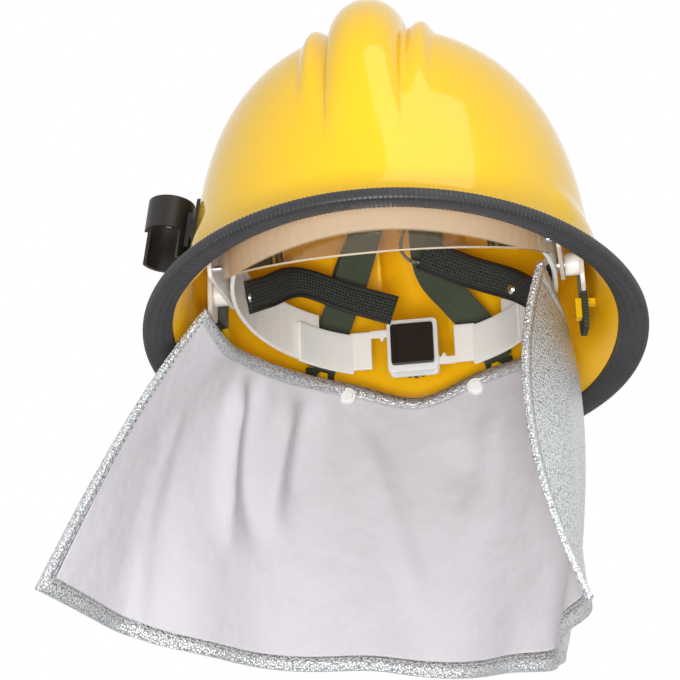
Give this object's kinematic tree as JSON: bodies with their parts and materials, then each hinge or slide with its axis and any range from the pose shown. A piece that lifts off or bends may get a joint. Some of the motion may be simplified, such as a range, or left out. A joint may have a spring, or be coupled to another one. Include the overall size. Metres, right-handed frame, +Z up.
{
  "type": "fire helmet",
  "caption": "Full-brim fire helmet with a crested shell, stowed clear eye shield, nape ratchet, crown webbing, side torch clip and a cloth neck cape hung inside the rear.",
  "frame": {"origin": "centre of the head opening, in the plane of the brim's front edge", "axes": "+Z up along the standing wearer's head, -Y the way the wearer faces, +X the wearer's left"},
  "size_m": [0.315, 0.319, 0.3254],
  "materials": {
    "shell_yellow": "glossy moulded, yellow",
    "rubber_trim": "matt ribbed, dark grey",
    "clear_white": "translucent, satin",
    "visor_clear": "clear, polished",
    "mesh_black": "open spacer mesh, black",
    "webbing_olive": "woven webbing, dark olive",
    "strap_black": "smooth tape, black",
    "lace_grey": "round braided lace, grey",
    "foam_pad": "foam-backed cloth, black",
    "black_plastic": "satin moulded, black",
    "steel": "plain",
    "cape_cloth": "cotton lining inside, aluminised face outside",
    "cape_silver": "aluminised binding tape, silver",
    "snap_white": "satin, white"
  },
  "bodies": {
    "shell": {"shell": "shell_yellow", "edge_trim": "rubber_trim", "headband": "clear_white", "brow_pad": "foam_pad", "comfort_band_left": "mesh_black", "comfort_band_right": "mesh_black", "band_rivets": "steel", "crown_lace": "lace_grey", "side_strap": "webbing_olive", "diagonal_strap_a": "webbing_olive", "diagonal_strap_b": "webbing_olive", "strap_ends": "webbing_olive", "shell_hooks": "shell_yellow", "rear_strap": "strap_black", "ratchet_housing": "clear_white", "ratchet_cover": "clear_white", "ratchet_pad": "black_plastic", "pivot_bracket_left": "clear_white", "pivot_bracket_right": "clear_white", "pivot_pins": "steel", "clip_base": "black_plastic", "clip_pin": "steel", "cape": "cape_cloth", "cape_binding": "cape_silver", "cape_snaps": "snap_white", "snap_sockets": "snap_white"},
    "visor": {"visor": "visor_clear", "visor_arm_left": "clear_white", "visor_arm_right": "clear_white", "visor_rivets": "steel"},
    "torch_clip": {"torch_clip": "black_plastic"},
    "ratchet_knob": {"ratchet_knob": "black_plastic", "ratchet_pinion": "clear_white", "knob_screw": "steel"},
    "nape_strap_left": {"nape_strap_left": "clear_white"},
    "nape_strap_right": {"nape_strap_right": "clear_white"}
  },
  "joints": [
    {"name": "visor_tilt", "type": "hinge", "parent": "shell", "child": "visor", "pos_m": [0, 0.01, 0.035], "axis": [1, 0, 0], "range_deg": [0, 30]},
    {"name": "torch_clip_swivel", "type": "hinge", "parent": "shell", "child": "torch_clip", "pos_m": [-0.09911, 0, 0.066], "axis": [-0.9903, 0, 0.1392], "range_deg": [-90, 90]},
    {"name": "knob_turn", "type": "hinge", "parent": "shell", "child": "ratchet_knob", "pos_m": [0, 0.1, 0.033], "axis": [0, 1, 0], "range_deg": [0, 76]},
    {"name": "nape_left_slide", "type": "slide", "parent": "shell", "child": "nape_strap_left", "axis": [1, 0, 0], "range_m": [0, 0.008]},
    {"name": "nape_right_slide", "type": "slide", "parent": "shell", "child": "nape_strap_right", "axis": [-1, 0, 0], "range_m": [0, 0.008]}
  ],
  "couplings": [
    {"joint": "nape_left_slide", "follows": "knob_turn", "m_per_rad": 0.006},
    {"joint": "nape_right_slide", "follows": "knob_turn", "m_per_rad": 0.006}
  ]
}
